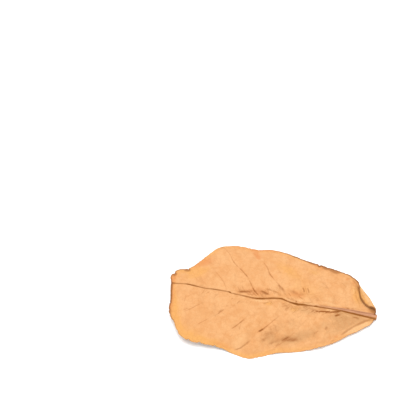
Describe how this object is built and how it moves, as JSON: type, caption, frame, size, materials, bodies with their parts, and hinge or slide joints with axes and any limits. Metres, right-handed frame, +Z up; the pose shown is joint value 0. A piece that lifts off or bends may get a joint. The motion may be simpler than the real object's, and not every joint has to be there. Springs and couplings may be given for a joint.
{
  "type": "indian almond leaf",
  "caption": "Single dried broad leaf lying flat, waved blade with midrib and side veins, stalk cut at the blade, one margin folded over near the stalk.",
  "frame": {"origin": "centre of the leaf's box in plan, on the surface that it lies on", "axes": "+X along the midrib from the rounded tip to the cut stalk, +Y to the margin that is folded over near the stalk, +Z up from the surface that it lies on"},
  "size_m": [0.2022, 0.1258, 0.0106],
  "materials": {
    "dry_leaf": "matt, dry"
  },
  "bodies": {
    "root": {"leaf": "dry_leaf"}
  },
  "joints": []
}
